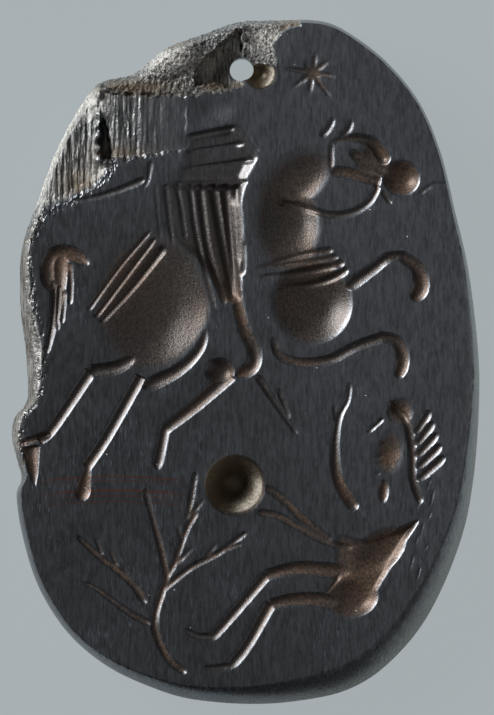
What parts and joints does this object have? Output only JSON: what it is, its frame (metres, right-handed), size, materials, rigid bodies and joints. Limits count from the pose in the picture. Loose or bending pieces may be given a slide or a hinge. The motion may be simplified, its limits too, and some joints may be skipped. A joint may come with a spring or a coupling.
{
  "type": "engraved gem",
  "caption": "Oval polished stone amulet, engraved with a rider above a fallen figure, with a chipped shoulder and a drilled cord hole.",
  "frame": {"origin": "middle of the stone's box, on the surface that its plain back lies on", "axes": "+Z out of the engraved face, +Y towards the cord hole, +X to the right as the engraving is read"},
  "size_m": [0.0294, 0.043, 0.004],
  "materials": {
    "haematite": "polished"
  },
  "bodies": {
    "root": {"engraved_stone": "haematite"}
  },
  "joints": []
}
